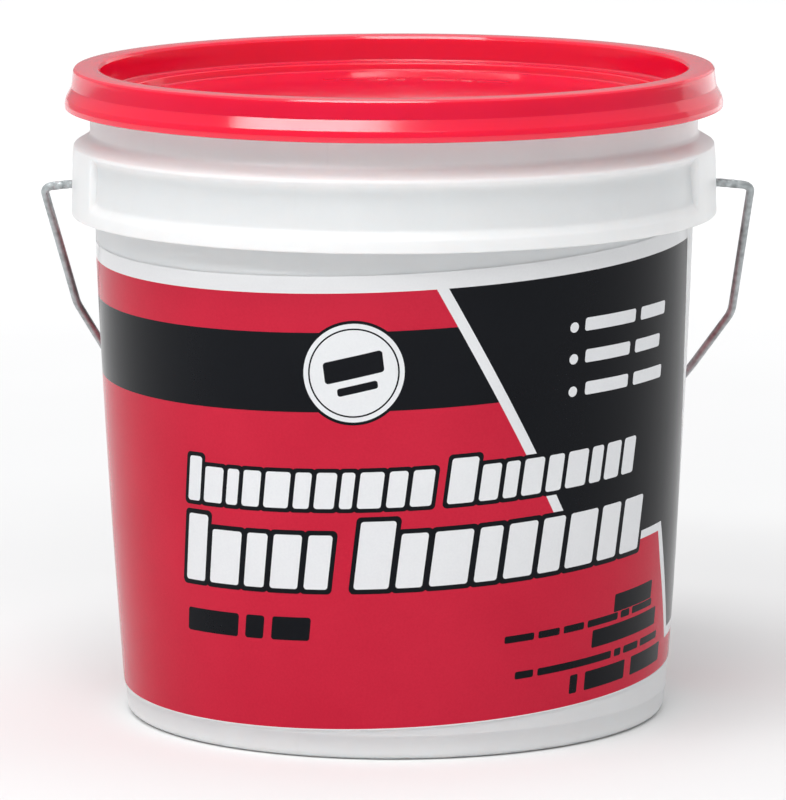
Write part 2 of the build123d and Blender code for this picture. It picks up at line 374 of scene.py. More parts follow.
def make_steel():
    mat, nt, bsdf = node_material("bail_galvanised_steel")
    co = object_coords(nt)
    vor = nt.nodes.new("ShaderNodeTexVoronoi")
    vor.inputs["Scale"].default_value = 420.0
    nt.links.new(co, vor.inputs["Vector"])
    spangle = vor.outputs["Distance"]
    patch = noise(nt, co, 90.0, 4.0, 0.6)
    both = math_node(nt, "ADD", math_node(nt, "MULTIPLY", spangle, 0.4), math_node(nt, "MULTIPLY", patch, 0.75))
    nt.links.new(two_tone(nt, both, (0.30, 0.325, 0.33, 1), (0.54, 0.58, 0.59, 1), 0.3, 0.7), bsdf.inputs["Base Color"])
    bsdf.inputs["Metallic"].default_value = 0.75
    nt.links.new(remap(nt, patch, 0.3, 0.7, 0.46, 0.62), bsdf.inputs["Roughness"])
    bump(nt, bsdf, [(noise(nt, co, 900.0, 3.0, 0.6), 0.35, 0.00007)])
    return mat


def make_compound():
    mat, nt, bsdf = node_material("joint_compound_paste")
    co = object_coords(nt)
    tone = noise(nt, co, 45.0, 5.0, 0.6)
    nt.links.new(two_tone(nt, tone, (0.70, 0.685, 0.645, 1), (0.78, 0.768, 0.735, 1)), bsdf.inputs["Base Color"])
    nt.links.new(remap(nt, noise(nt, co, 120.0, 4.0, 0.6), 0.3, 0.7, 0.42, 0.62), bsdf.inputs["Roughness"])
    bsdf.inputs["Subsurface Weight"].default_value = 0.15
    bsdf.inputs["Subsurface Radius"].default_value = (0.003, 0.0026, 0.002)
    bsdf.inputs["Subsurface Scale"].default_value = 1.0
    pits = nt.nodes.new("ShaderNodeTexVoronoi")
    pits.inputs["Scale"].default_value = 330.0
    nt.links.new(co, pits.inputs["Vector"])
    holes = remap(nt, pits.outputs["Distance"], 0.0, 0.16, 0.0, 1.0)
    bump(nt, bsdf, [(noise(nt, co, 260.0, 5.0, 0.65), 0.5, 0.0004), (holes, 0.35, 0.0003)])
    return mat


def make_floor():
    mat, nt, bsdf = node_material("studio_floor")
    co = object_coords(nt)
    nt.links.new(two_tone(nt, noise(nt, co, 3.0, 3.0, 0.5), (0.79, 0.79, 0.79, 1), (0.81, 0.81, 0.81, 1)),
                 bsdf.inputs["Base Color"])
    bsdf.inputs["Roughness"].default_value = 0.9
    bsdf.inputs["Specular IOR Level"].default_value = 0.1
    # the far part glows a little, like a backdrop with its own light
    length = nt.nodes.new("ShaderNodeVectorMath")
    length.operation = "LENGTH"
    nt.links.new(co, length.inputs[0])
    bsdf.inputs["Emission Color"].default_value = (1, 1, 1, 1)
    nt.links.new(remap(nt, length.outputs["Value"], 0.25, 1.4, 0.0, 0.42), bsdf.inputs["Emission Strength"])
    return mat


m_pail = make_pail_plastic()
m_lid = make_lid_plastic()
m_red = make_film("label_red_ink", (0.555, 0.0125, 0.040, 1), (0.605, 0.0165, 0.047, 1))
m_black = make_film("label_black_ink", (0.0018, 0.0026, 0.0048, 1), (0.0032, 0.0042, 0.0068, 1))
m_white = make_film("label_white_ink", (0.78, 0.795, 0.815, 1), (0.82, 0.835, 0.85, 1), level=0.3)
m_clear = make_film("label_bare_film", (0.800, 0.812, 0.825, 1), (0.830, 0.840, 0.850, 1), rough=(0.12, 0.2), level=0.35)
m_grey = make_film("label_grey_ink", (0.16, 0.165, 0.175, 1), (0.20, 0.205, 0.215, 1))
m_steel = make_steel()
m_paste = make_compound()
m_floor = make_floor()


# ================================================================ pail
def ear_r(z):
    """Outside radius of the filled-out ear at height z."""
    return float(np.interp(z, [153.0, 153.3, 170.5, 173.0, 174.1], [98.08, 98.08, 97.72, 97.5, 97.35]))


def build_pail():
    w_foot = wall_r(7.9)
    low_wall = wall_line(7.9, 158.0, longest=8.0)
    high_wall = wall_line(158.0, 171.4, longest=3.4)
    channel = rounded([(wall_r(171.4), 171.4), (93.3, 172.9, 0.8), (94.35, 170.4, 1.2), (94.45, 166.5),
                       (94.639, 163.4), (94.877, 159.5), (94.968, 158.0)], step=16.0, longest=3.0)
    skirt_in = rounded([(94.968, 158.0), (95.2, 154.2), (95.5, 153.0, 0.3), (96.2, 153.0)], step=16.0, longest=3.0)
    skirt_out = rounded([(96.2, 153.0), (97.85, 153.0, 0.5), (97.7, 156.8, 2.5), (96.15, 159.5, 2.5), (95.72, 165.5, 12.0),
                         (95.52, 169.3, 6.0), (95.58, 171.5, 4.6), (97.42, 173.5, 0.4), (97.3, 174.25, 0.6),
                         (95.9, 175.09)], step=10.0, longest=1.7)
    neck = rounded([(95.9, 175.09), (92.3, 177.25, 2.2), (92.3, 189.2, 0.6), (95.2, 190.7, 0.4),
                    (95.6, 191.5, 0.4), (95.6, 193.8, 0.8), (94.9, 195.3, 0.7), (94.0, 195.7, 0.5),
                    (91.6, 195.7, 0.6), (wall_r(193.8, WALL_T), 194.7, 0.4), (wall_r(193.8, WALL_T), 193.8)])
    inner = wall_line(193.8, 8.4, WALL_T, 10.0)
    floor = rounded([(wall_r(8.4, WALL_T), 8.4), (80.95, 3.4, 3.6), (0, 3.4)], longest=20.0)
    under = rounded([(0, 1.0), (3.0, 1.0, 0.15), (3.05, 1.5), (30.0, 1.5), (30.05, 1.1, 0.1), (30.95, 1.1, 0.1), (31.0, 1.5),
                     (60.0, 1.5), (60.05, 1.1, 0.1), (60.95, 1.1, 0.1), (61.0, 1.5), (75.6, 1.5, 0.5), (76.8, 0, 0.4),
                     (82.3, 0, 2.6), (82.93, 7.05), (w_foot, 7.5), (w_foot, 7.9)], step=15.0, longest=16.0)
    profile = joined(low_wall, high_wall, channel, skirt_in, skirt_out, neck, inner, floor, under)
    if math.hypot(profile[0][0] - profile[-1][0], profile[0][1] - profile[-1][1]) < 1e-3:
        profile.pop()
    prof = np.array(profile)
    # rows between the two points at z 158 close up under each gusset
    g0 = int(np.argmin(np.hypot(prof[:, 0] - wall_r(158.0), prof[:, 1] - 158.0)))
    g1 = int(np.argmin(np.hypot(prof[:, 0] - 94.968, prof[:, 1] - 158.0)))
    arc = np.concatenate([[0], np.cumsum(np.hypot(*np.diff(prof[g0:g1 + 1], axis=0).T))])
    arc /= arc[-1]
    flat_r = wall_r(158.0) + (94.968 - wall_r(158.0)) * arc
    # rows of the skirt's outside
    s0 = int(np.argmin(np.hypot(prof[:, 0] - 96.2, prof[:, 1] - 153.0)))
    s1 = int(np.argmin(np.hypot(prof[:, 0] - 95.9, prof[:, 1] - 175.09)))

    cols = {round(k * 1.25, 4): "" for k in range(288)}
    half = math.degrees(math.asin(0.65 / 95.0))
    for k in range(24):
        c = 15.0 * k + 7.5
        for s in (-1, 1):
            cols[round((c + s * half) % 360, 4)] = ""
            cols[round((c + s * (half + 0.09)) % 360, 4)] = ""
    ear_steps = (-0.30, -0.12, 0.06, 0.24, 0.42, 0.62)
    for c in (0.0, 180.0):
        for s in (-1, 1):
            for e in ear_steps:
                cols[round((c + s * (22.0 - e)) % 360, 4)] = ""
    deg = sorted(cols)
    n, m = len(deg), len(prof)
    ang = np.radians(deg)

    def ear_weight(d):
        off = min(abs((d + 180) % 360 - 180), abs((d - 180 + 180) % 360 - 180))
        e = 22.0 - off
        edge = float(np.interp(e, [-0.30, -0.12, 0.06, 0.24, 0.42, 0.62], [0.0, 0.12, 0.42, 0.76, 0.95, 1.0]))
        wide = min(1.0, max(0.0, (e + 5.0) / 5.6))
        return edge, wide * wide * (3 - 2 * wide)

    def in_gusset(d):
        off = abs((d - 7.5 + 7.5) % 15.0 - 7.5)
        return off <= half + 1e-3

    R = np.repeat(prof[:, :1], n, 1)
    Z = np.repeat(prof[:, 1:], n, 1)
    for j, d in enumerate(deg):
        edge, wide = ear_weight(d)
        if wide > 0:
            for i in range(s0, s1 + 1):
                r, z = prof[i]
                if z < 153.51:
                    k = (r - 96.2) / 1.65
                    r2 = 96.2 + max(0.0, k) * (98.08 - 96.2)
                elif z <= 174.1:
                    r2 = max(ear_r(z), r)
                else:
                    r2 = r
                # along the bottom lip the ear runs out gently, above it the ear has a clear edge
                low = float(np.interp(z, [157.0, 160.5], [1.0, 0.0]))
                R[i, j] = r + (r2 - r) * (wide * low + edge * (1.0 - low))
        if in_gusset(d):
            R[g0:g1 + 1, j] = flat_r
            Z[g0:g1 + 1, j] = 158.0

    verts, index = [], np.zeros((m, n), int)
    for i in range(m):
        if prof[i, 0] < 1e-6:
            index[i, :] = len(verts)
            verts.append((0, 0, prof[i, 1]))
        else:
            for j in range(n):
                index[i, j] = len(verts)
                verts.append((R[i, j] * math.cos(ang[j]), R[i, j] * math.sin(ang[j]), Z[i, j]))

    # patches around the bail's holes: taken out of the grid and refilled around a round hole
    def rows_round(first, last, wanted, reach):
        fit = [i for i in range(first, last) if wanted(prof[i])]
        low = max((i for i in fit if prof[i, 1] < AXIS_Z - reach), key=lambda i: prof[i, 1])
        high = min((i for i in fit if prof[i, 1] > AXIS_Z + reach), key=lambda i: prof[i, 1])
        return list(range(min(low, high), max(low, high) + 1))
    out_rows = rows_round(s0, s1, lambda p: 155.0 < p[1] < 170.0, 1.8)
    in_rows = rows_round(g0, g1, lambda p: p[0] > 94.0 and 158.0 < p[1] < 170.0, 1.55)
    skip = set()
    patches = []
    for centre in (0.0, 180.0):
        near = [j for j, d in enumerate(deg) if abs((d - centre + 180) % 360 - 180) < 2.6]
        if centre == 0.0:
            near = sorted(near, key=lambda j: (deg[j] + 180) % 360)
        for rows in (out_rows, in_rows):
            ring = [(rows[0], j) for j in near] + [(i, near[-1]) for i in rows[1:]] + \
                   [(rows[-1], j) for j in near[::-1][1:]] + [(i, near[0]) for i in rows[::-1][1:-1]]
            for i in range(rows[0], rows[-1]):
                for k in range(len(near) - 1):
                    skip.add((i, near[k]))
            patches.append((centre, rows is out_rows, ring, rows))
    faces = []
    for i in range(m):
        i2 = (i + 1) % m
        for j in range(n):
            if (i, j) in skip:
                continue
            j2 = (j + 1) % n
            q = []
            for v in (index[i, j], index[i, j2], index[i2, j2], index[i2, j]):
                if v not in q:
                    q.append(int(v))
            if len(q) > 2:
                faces.append(q)
    hole_n = 40
    rims = {}
    for centre, outer, ring, rows in patches:
        sx = 1 if centre == 0.0 else -1
        rid = [int(index[i, j]) for i, j in ring]
        mean_r = float(np.mean([ear_r(prof[i, 1]) if outer else prof[i, 0] for i in rows]))
        pts = [Vector((mean_r * math.radians((deg[j] - centre + 180) % 360 - 180), prof[i, 1])) for i, j in ring]
        radius = 1.62 if outer else 1.34
        circ = [Vector((radius * math.cos(2 * math.pi * k / hole_n), AXIS_Z + radius * math.sin(2 * math.pi * k / hole_n)))
                for k in range(hole_n)]
        zz = [prof[i, 1] for i in rows]
        rr = [ear_r(prof[i, 1]) if outer else prof[i, 0] for i in rows]
        order = np.argsort(zz)
        cid = []
        for c in circ:
            r = float(np.interp(c[1], np.array(zz)[order], np.array(rr)[order]))
            cid.append(len(verts))
            verts.append((sx * math.sqrt(r * r - c[0] ** 2), c[0] * sx, c[1]))
        ids = rid + cid
        coords = pts + [Vector((mean_r * math.asin(c[0] / mean_r), c[1])) for c in circ]
        a = len(rid)
        edges = [(k, (k + 1) % a) for k in range(a)] + [(a + k, a + (k + 1) % hole_n) for k in range(hole_n)]
        res = delaunay_2d_cdt(coords, edges, [], 0, 1e-6)
        v2, _, f2, ov = res[0], res[1], res[2], res[3]
        for f in f2:
            c = sum((v2[k] for k in f), Vector((0, 0))) / 3
            if (c - Vector((0, AXIS_Z))).length < radius * 0.995:
                continue
            if not inside([tuple(p) for p in pts], np.array([c[0]]), np.array([c[1]]))[0]:
                continue
            tri = [ids[ov[k][0]] for k in f]
            p = [Vector(verts[k]) for k in tri]
            nrm = (p[1] - p[0]).cross(p[2] - p[0])
            want = sx if outer else -sx
            if nrm[0] * want < 0:
                tri.reverse()
            faces.append(tri)
        rims[(centre, outer)] = cid
    for centre in (0.0, 180.0):
        sx = 1 if centre == 0.0 else -1
        o, i_ = rims[(centre, True)], rims[(centre, False)]
        # a short countersink at the outside, then the straight bore
        mid = []
        for k in range(hole_n):
            c = 2 * math.pi * k / hole_n
            x = abs(verts[o[k]][0]) - 0.32
            mid.append(len(verts))
            verts.append((sx * x, sx * 1.34 * math.cos(c), AXIS_Z + 1.34 * math.sin(c)))
        for a_, b_ in ((o, mid), (mid, i_)):
            for k in range(hole_n):
                k2 = (k + 1) % hole_n
                q = [a_[k], a_[k2], b_[k2], b_[k]]
                p = [Vector(verts[v]) for v in q]
                nrm = (p[1] - p[0]).cross(p[2] - p[0])
                mid_p = sum(p, Vector((0, 0, 0))) / 4
                to_axis = Vector((0, -mid_p[1], AXIS_Z - mid_p[2]))
                if nrm.dot(to_axis) < 0:
                    q.reverse()
                faces.append(q)
    # points of the grid that the refilled patches no longer use
    used = sorted({v for f in faces for v in f})
    place = {v: k for k, v in enumerate(used)}
    faces = [[place[v] for v in f] for f in faces]
    verts = [(verts[v][0] * MM, verts[v][1] * MM, verts[v][2] * MM) for v in used]
    obj = new_object("pail_shell", verts, faces, [m_pail])
    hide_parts("pail_body")
    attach(obj, "pail")
    return obj


pail_shell = build_pail()


# ================================================================ lid
def build_lid():
    profile = rounded([
        (0, 187.65), (2.6, 187.65, 0.12), (2.66, 187.2),
        (82.0, 187.2, 0.6), (82.5, 189.6, 0.5), (88.55, 189.6, 0.7), (89.15, 196.6, 0.4), (89.75, 197.45, 0.3),
        (91.3, 197.75, 1.0), (94.4, 197.8, 8.0), (96.75, 197.55, 0.3), (97.28, 196.95, 0.3), (97.37, 195.8, 0.6),
        (97.83, 191.95, 0.2), (99.5, 188.75, 0.5), (99.93, 187.2, 0.8), (99.93, 185.65, 0.4), (99.3, 185.4, 0.2),
        (98.3, 185.4, 0.3), (97.9, 187.4, 0.4), (95.98, 188.7, 0.3), (95.98, 189.3, 0.3), (96.75, 190.4, 0.4),
        (96.2, 194.2, 0.5), (95.2, 195.9, 0.8), (91.4, 195.9, 0.6), (90.3, 194.9, 0.4), (90.05, 188.5, 0.5),
        (88.9, 188.0, 0.6), (84.0, 188.0, 0.5), (83.5, 185.6, 0.5), (0, 185.6)], step=9.0, longest=5.0)
    cols = [math.radians(k * 1.0) for k in range(360)]
    # plain low bars moulded on the panel, in an arc behind the middle
    verts, bars = [], []
    for start, end in ((-22.0, -18.2), (-16.4, -8.0), (-5.4, -1.8), (0.8, 3.6), (9.0, 19.5), (21.6, 25.0), (27.2, 38.0)):
        k = max(3, int((end - start) / 0.8))
        ring = []
        for r, z, grow in ((57.0, 187.08, 0.0), (57.12, 187.5, -0.12), (59.28, 187.5, -0.12), (59.4, 187.08, 0.0)):
            row = []
            for j in range(k + 1):
                a = math.radians(90.0 - (start - grow + (end - start + 2 * grow) * j / k))
                row.append(len(verts))
                verts.append((r * math.cos(a) * MM, r * math.sin(a) * MM, z * MM))
            ring.append(row)
        faces = []
        for a_, b_ in ((0, 1), (1, 2), (2, 3), (3, 0)):
            for j in range(k):
                faces.append([ring[a_][j], ring[b_][j], ring[b_][j + 1], ring[a_][j + 1]])
        faces.append([ring[q][0] for q in (3, 2, 1, 0)])
        faces.append([ring[q][k] for q in (0, 1, 2, 3)])
        bars += outward(verts, faces)
    obj = lathe("lid_shell", profile, cols, [m_lid], extra=(verts, bars))
    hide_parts("lid")
    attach(obj, "lid")
    return obj


lid_shell = build_lid()


# ================================================================ contents
def build_compound():
    n = 240
    radii = [0.0] + [1.2 * k for k in range(1, 68)] + [82.5, 84.0, 85.2, 86.2, 87.0, 87.7, 88.3, 88.8, 89.15, 89.4]
    waves = [(rng.uniform(0.02, 0.05), rng.uniform(0, 6.28), rng.uniform(0, 6.28), rng.uniform(0.2, 0.6)) for _ in range(9)]

    def top(r, a):
        x, y = r * math.cos(a), r * math.sin(a)
        # left by the filling nozzle: one slow spiral ridge, a soft peak off the middle, and settling marks
        spiral = 0.95 * math.sin(2 * math.pi * (r / 15.5) - a + 0.35 * math.sin(3 * a)) * math.exp(-((r - 40) / 42.0) ** 2)
        peak = 2.1 * math.exp(-((x - 7) ** 2 + (y + 5) ** 2) / 95.0) - 1.3 * math.exp(-((x + 9) ** 2 + (y - 8) ** 2) / 240.0)
        ripple = sum(h * math.sin(k * x * 5 + p) * math.sin(k * y * 4 + q) for k, p, q, h in waves)
        edge = 0.9 * math.exp(-((89.4 - r) / 3.2))
        fade = min(1.0, max(0.0, (89.0 - r) / 8.0))
        return FILL_Z - 1.1 + fade * (spiral + peak + 0.5 * ripple) + edge
    verts, faces = [], []
    rows = []
    for r in radii:
        if r == 0:
            rows.append([len(verts)] * n)
            verts.append((0, 0, top(0, 0)))
        else:
            rows.append(list(range(len(verts), len(verts) + n)))
            for j in range(n):
                a = 2 * math.pi * j / n
                verts.append((r * math.cos(a), r * math.sin(a), top(r, a)))
    side = [(wall_r(z, WALL_T + 0.12), z) for z in (FILL_Z - 1.2, 150, 130, 105, 80, 55, 30, 12)]
    low = rounded([(wall_r(10, WALL_T + 0.12), 10.0), (80.85, 3.52, 3.6), (0, 3.52)], longest=20.0)
    for r, z in side + low:
        if r < 1e-6:
            rows.append([len(verts)] * n)
            verts.append((0, 0, z))
        else:
            rows.append(list(range(len(verts), len(verts) + n)))
            for j in range(n):
                a = 2 * math.pi * j / n
                verts.append((r * math.cos(a), r * math.sin(a), z))
    for i in range(len(rows) - 1):
        for j in range(n):
            j2 = (j + 1) % n
            q = []
            for v in (rows[i][j], rows[i + 1][j], rows[i + 1][j2], rows[i][j2]):
                if v not in q:
                    q.append(v)
            if len(q) > 2:
                faces.append(q)
    verts = [(a * MM, b * MM, c * MM) for a, b, c in verts]
    obj = new_object("compound_fill", verts, faces, [m_paste])
    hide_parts("joint_compound")
    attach(obj, "pail")
    return obj


compound_fill = build_compound()


# ================================================================ bail
def build_bail():
    bow_c = (3.24, 38.71)
    corner_l, corner_r = (-106.75, 1.2), (108.7, 1.35)
    knee_l, knee_r = (-98.6, 53.4), (104.9, 58.4)
    sl, sr = math.radians(20.6), math.radians(24.9)
    dl, dr = (math.sin(sl), math.cos(sl)), (-math.sin(sr), math.cos(sr))
    nl, nr = (dl[1], -dl[0]), (-dr[1], dr[0])
    rad = 100.5
    a1, b1, c1 = nl[0], nl[1], rad + nl[0] * knee_l[0] + nl[1] * knee_l[1]
    a2, b2, c2 = nr[0], nr[1], rad + nr[0] * knee_r[0] + nr[1] * knee_r[1]
    d = a1 * b2 - a2 * b1
    bow_c = ((c1 * b2 - c2 * b1) / d, (a1 * c2 - a2 * c1) / d)
    touch_l = (bow_c[0] - rad * nl[0], bow_c[1] - rad * nl[1])
    touch_r = (bow_c[0] - rad * nr[0], bow_c[1] - rad * nr[1])
    left = rounded([(-92.6, 0), (-98.9, 0, 6.0), (*corner_l, 2.6), (*knee_l, 16.0), touch_l], step=5.0, longest=0.35)
    right = rounded([touch_r, (*knee_r, 16.0), (*corner_r, 2.6), (98.9, 0, 6.0), (92.6, 0)], step=5.0, longest=0.35)

    def thin(line, lo):
        out = [line[0]]
        for p in line[1:-1]:
            near = abs(p[0]) < 105.5 and abs(p[1]) < 3.5
            if math.hypot(p[0] - out[-1][0], p[1] - out[-1][1]) >= (lo if not near else 0.1):
                out.append(p)
        out.append(line[-1])
        return out
    left, right = thin(left, 0.9), thin(right, 0.9)
    t0 = math.atan2(touch_l[0] - bow_c[0], touch_l[1] - bow_c[1])
    t1 = math.atan2(touch_r[0] - bow_c[0], touch_r[1] - bow_c[1])
    k = 130
    bow = [(bow_c[0] + rad * math.sin(t0 + (t1 - t0) * j / k), bow_c[1] + rad * math.cos(t0 + (t1 - t0) * j / k))
           for j in range(1, k)]
    uv = np.array(left + bow + right)
    # angle at which the bail leans on the pail's back
    lo, hi = math.radians(20), math.radians(70)
    for _ in range(60):
        a = 0.5 * (lo + hi)
        room = 1e9
        for q in range(-60, 61):
            t = math.radians(q)
            u, v = bow_c[0] + rad * math.sin(t), bow_c[1] + rad * math.cos(t)
            y, z = v * math.sin(a), AXIS_Z - v * math.cos(a)
            room = min(room, math.hypot(u, y) - wall_r(z, -0.17))
        if room < 1.25 + 0.35:
            lo = a
        else:
            hi = a
    lean = hi
    P = np.stack([uv[:, 0], uv[:, 1] * math.sin(lean), AXIS_Z - uv[:, 1] * math.cos(lean)], 1)
    T = np.gradient(P, axis=0)
    T /= np.linalg.norm(T, axis=1)[:, None]
    B = np.array((0, -math.cos(lean), -math.sin(lean)))
    N = np.cross(B, T)
    seg = 20
    verts, faces = [], []
    rings = []

    def squeeze(u, v):
        """Half width across the bail's plane and half thickness, at a point of the wire."""
        w, t = 1.25, 1.25
        if abs(v) < 3.5:
            for at, wide, flat, length in ((93.5, 1.65, 0.95, 1.4), (99.9, 1.70, 0.78, 1.5), (103.2, 1.70, 0.78, 1.5)):
                f = float(np.interp(abs(abs(u) - at), [length / 2 - 0.15, length / 2 + 0.30], [1.0, 0.0]))
                f = f * f * (3 - 2 * f)
                w += (wide - 1.25) * f
                t += (flat - 1.25) * f
        return w, t
    last = len(P) - 1
    # a slightly rounded cut end at each tip
    first_dir = T[0]
    last_dir = T[-1]
    stations = [(P[0], 0, 0.78)] + [(P[0] + first_dir * 0.22, 0, 1.0)] + \
               [(P[i], i, 1.0) for i in range(1, last)] + \
               [(P[-1] - last_dir * 0.22, last, 1.0), (P[-1], last, 0.78)]
    for p, i, s in stations:
        w, t = squeeze(*uv[i])
        ring = []
        for j in range(seg):
            a = 2 * math.pi * j / seg
            q = p + N[i] * (w * s * math.cos(a)) + B * (t * s * math.sin(a))
            ring.append(len(verts))
            verts.append(tuple(q * MM))
        rings.append(ring)
    for a, b in zip(rings[:-1], rings[1:]):
        for j in range(seg):
            j2 = (j + 1) % seg
            faces.append((a[j], b[j], b[j2], a[j2]))
    faces.append(tuple(rings[0]))
    faces.append(tuple(rings[-1][::-1]))
    obj = new_object("bail_handle", verts, outward(verts, faces), [m_steel], sharp_deg=50.0)
    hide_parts("bail_wire")
    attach(obj, "bail")
    return obj


bail_handle = build_bail()


# ================================================================ label
# The artwork is drawn flat: s runs round the pail from the front, + towards +X, in millimetres on a radius of 88,
# and v runs up the label, square to its tilted edges.
ART_R = 88.0
FILM_TOP, FILM_LOW = 149.7, 12.9
INK_TOP, INK_LOW = 144.6, 13.35


def seam_s(v):
    """Right-hand edge of the film."""
    return float(np.interp(v, [10, 30, 45, 81, 107, 146, 150], [88.6, 87.0, 85.8, 81.4, 78.7, 76.3, 76.1])) * math.pi / 180 * ART_R


LEFT_S = math.radians(-263.9) * ART_R


def rounded_poly(points, radius, n=5):
    """Polygon with rounded corners; points in order."""
    out = []
    m = len(points)
    for i in range(m):
        a, b, c = (np.array(points[k % m], float) for k in (i - 1, i, i + 1))
        u, w = a - b, c - b
        lu, lw = np.linalg.norm(u), np.linalg.norm(w)
        u, w = u / lu, w / lw
        turn = math.pi - math.acos(float(np.clip(u @ w, -1, 1)))
        t = min(radius * math.tan(turn / 2), 0.49 * min(lu, lw))
        if t < 0.02:
            out.append(tuple(b))
            continue
        rad = t / math.tan(turn / 2)
        bis = (u + w) / np.linalg.norm(u + w)
        centre = b + bis * (rad / math.cos(turn / 2))
        p0, p1 = b + u * t, b + w * t
        a0 = math.atan2(*(p0 - centre)[::-1])
        a1 = math.atan2(*(p1 - centre)[::-1])
        da = (a1 - a0 + math.pi) % (2 * math.pi) - math.pi
        for j in range(n + 1):
            ang = a0 + da * j / n
            out.append(tuple(centre + rad * np.array((math.cos(ang), math.sin(ang)))))
    return out


def slab(s0, s1, v0, v1, lean=0.0, radius=0.5, grow=0.0, rise=0.0):
    """A bar from s0 to s1 and v0 to v1, leaning to the right, its top and bottom rising by rise over its length."""
    g = grow
    k = lean
    pts = [(s0 - g - k * g, v0 - g), (s1 + g - k * g, v0 - g + rise), (s1 + g + k * (v1 - v0 + g), v1 + g + rise),
           (s0 - g + k * (v1 - v0 + g), v1 + g)]
    return rounded_poly(pts, radius + g * 0.6)


def disc(s, v, r, n=28):
    return [(s + r * math.cos(2 * math.pi * k / n), v + r * math.sin(2 * math.pi * k / n)) for k in range(n)]


RED, BLACK, WHITE, CLEAR, GREY = 0, 1, 2, 3, 4
shapes = []          # (outline, ink), later ones on top


def add(outline, ink):
    shapes.append((outline, ink))


far = LEFT_S - 5
right_limit = 142.0
# ground colour and band
add([(far, INK_LOW), (right_limit, INK_LOW), (right_limit, INK_TOP), (far, INK_TOP)], RED)
add([(far, 109.3), (40.0, 109.3), (40.0, 133.0), (far, 133.0)], BLACK)
# the sweeping panel: white keyline first, then black inside it
k = 0.530


def cut_s(s0, v):
    return s0 + k * (144.5 - v)


add([(cut_s(12.1, INK_TOP), INK_TOP), (cut_s(12.1, 58.35), 58.35), (101.0, 58.35), (104.3, 48.4), (108.5, 38.3),
     (115.4, 22.05), (right_limit, 22.05), (right_limit, INK_TOP)], WHITE)
add([(cut_s(15.55, INK_TOP), INK_TOP), (cut_s(15.55, 60.75), 60.75), (102.9, 60.9), (108.1, 47.5), (112.2, 37.4),
     (117.3, 25.2), (right_limit, 25.2), (right_limit, INK_TOP)], BLACK)

# badge: plain disc with plain bars
bc = (-11.8, 120.9)


def turned(outline, degrees, centre):
    c, s_ = math.cos(math.radians(degrees)), math.sin(math.radians(degrees))
    return [(centre[0] + (p[0] - centre[0]) * c - (p[1] - centre[1]) * s_,
             centre[1] + (p[0] - centre[0]) * s_ + (p[1] - centre[1]) * c) for p in outline]


add(disc(bc[0], bc[1], 15.6, 72), BLACK)
add(disc(bc[0], bc[1], 14.7, 72), WHITE)
add(disc(bc[0], bc[1], 13.3, 64), BLACK)
add(disc(bc[0], bc[1], 12.8, 64), WHITE)
add(turned(slab(bc[0] - 8.8, bc[0] + 8.8, bc[1] - 1.6, bc[1] + 4.9, 0.10, 1.0), 12, bc), BLACK)
add(turned(slab(bc[0] - 6.0, bc[0] + 6.0, bc[1] - 6.0, bc[1] - 3.6, 0.10, 0.8), 12, bc), BLACK)


# heading: two rows of plain leaning blocks, white with a black edge
def block_row(base, cap, xh, spans, gap, edge, lean=0.13):
    """spans: one list of block widths per group, as (start, [widths])."""
    blocks = []
    for start, end, widths in spans:
        total = sum(widths)
        free = (end - start) - gap * (len(widths) - 1)
        s = start
        for q, w in enumerate(widths):
            w = w * free / total
            blocks.append((s, s + w, base, cap if q == 0 else xh))
            s += w + gap
    for s0, s1, v0, v1 in blocks:
        add(slab(s0, s1, v0, v1, lean, 0.7, grow=edge), BLACK)
    for s0, s1, v0, v1 in blocks:
        add(slab(s0, s1, v0, v1, lean, 0.9), WHITE)


block_row(80.3, 93.9, 91.2, [(-68.0, 10.6, [4.2, 6.0, 3.6, 5.2, 7.0, 4.4, 5.4, 3.4, 6.2, 4.8, 5.6]),
                             (15.2, 82.0, [6.6, 4.8, 3.6, 5.4, 4.4, 6.2, 3.8, 5.2, 4.6])], 1.5, 1.25)
block_row(55.9, 76.3, 72.3, [(-70.4, -20.6, [5.6, 7.8, 5.0, 6.6, 5.4]),
                             (-12.6, 87.0, [7.6, 5.8, 8.4, 5.2, 6.8, 5.6, 7.8, 6.0, 7.0])], 2.0, 1.45)

# second line, black on red
for s0, s1 in ((-71.0, -50.9), (-48.3, -41.9), (-39.2, -26.6)):
    add(slab(s0, s1, 40.2, 47.3, 0.12, 0.9), BLACK)

# three points on the dark panel
for v, ends in ((128.4, ((58.9, 80.3), (83.0, 97.2))), (118.9, ((59.2, 78.0), (80.6, 94.4))), (109.2, ((59.5, 77.6), (80.2, 96.4)))):
    add(disc(55.1, v, 1.55, 20), WHITE)
    for s0, s1 in ends:
        add(slab(s0, s1, v - 1.5 - (s0 - 55.1) * 0.035, v + 2.4 - (s0 - 55.1) * 0.035, 0.08, 0.8, rise=-(s1 - s0) * 0.035), WHITE)

# small print at the lower right, black on red, set flush right
for v0, v1, words in ((38.4, 43.9, ((76.3, 98.3),)),
                      (36.0, 38.2, ((34.0, 44.1), (45.6, 53.4), (54.9, 63.0), (64.5, 78.4), (79.9, 84.6), (86.1, 98.9))),
                      (29.4, 34.8, ((66.6, 102.6),)),
                      (24.6, 26.9, ((37.8, 44.2), (45.7, 76.0), (77.5, 80.9), (82.4, 90.9), (92.4, 105.0))),
                      (16.9, 22.6, ((58.0, 61.1), (64.2, 83.4), (87.0, 108.6)))):
    for s0, s1 in words:
        add(slab(s0, s1, v0, v1, 0.06, 0.55), BLACK)

